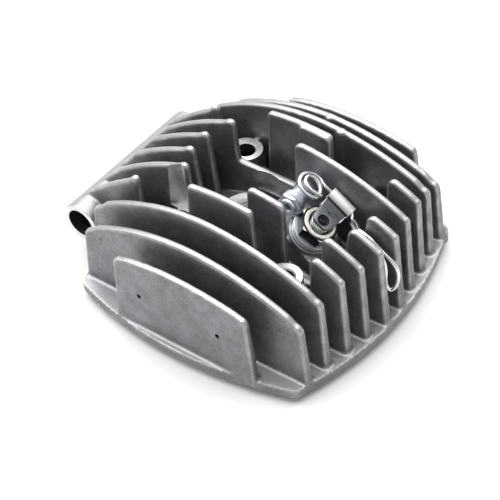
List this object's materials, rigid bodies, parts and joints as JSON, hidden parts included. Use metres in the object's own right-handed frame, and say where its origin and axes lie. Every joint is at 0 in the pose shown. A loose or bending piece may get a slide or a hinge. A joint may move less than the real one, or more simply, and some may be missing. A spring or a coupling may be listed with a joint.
{
  "type": "cylinder head",
  "caption": "Air-cooled small-engine cylinder head with parallel cooling fins, stud seats, a mounting tube and a sprung decompression valve with its lever and pull wire.",
  "frame": {"origin": "centre of the bounding box's bottom face, in the gasket plane, 5.25 mm from the cylinder axis towards the mounting tube", "axes": "+Z out of the gasket face through the fins, +X along the fins from the mounting tube towards the pull wire's hook, +Y across the fins from the two marks on the outer fin towards the back"},
  "size_m": [0.1174, 0.1058, 0.0494],
  "materials": {
    "cast_aluminium": "matte as-cast skin, machined seats, bright worn fin edges",
    "washer_steel": "bright flat steel ring, zinc-plated",
    "blue_zinc": "bluish bright zinc plate",
    "yellow_zinc": "pale yellow passivated zinc plate",
    "spring_steel": "drawn wire, light oil film",
    "dark_steel": "dark heat-treated steel",
    "grey_steel": "pressed grey steel sheet, bright rolled edge",
    "bright_wire": "bright drawn wire"
  },
  "bodies": {
    "head": {"head_casting": "cast_aluminium", "sealing_washer": "washer_steel", "cable_bracket": "blue_zinc", "adjuster_barrel": "blue_zinc", "adjuster_locknut": "blue_zinc", "valve_body": "yellow_zinc", "return_spring": "spring_steel"},
    "stem": {"valve_stem": "dark_steel", "spring_retainer": "spring_steel", "stem_nut": "dark_steel", "lever_plate": "grey_steel"},
    "wire": {"pull_wire": "bright_wire"}
  },
  "joints": [
    {"name": "stem_slide", "type": "slide", "parent": "head", "child": "stem", "axis": [-0.5592, 0, -0.829], "range_m": [0, 0.001], "stiffness_N_per_m": 900, "springref_m": -0.004, "deforming": ["return_spring"]},
    {"name": "wire_swing", "type": "hinge", "parent": "stem", "child": "wire", "pos_m": [0.03035, 0.0096, 0.03445], "axis": [0.829, 0, -0.5592], "range_deg": [0, 8]}
  ]
}
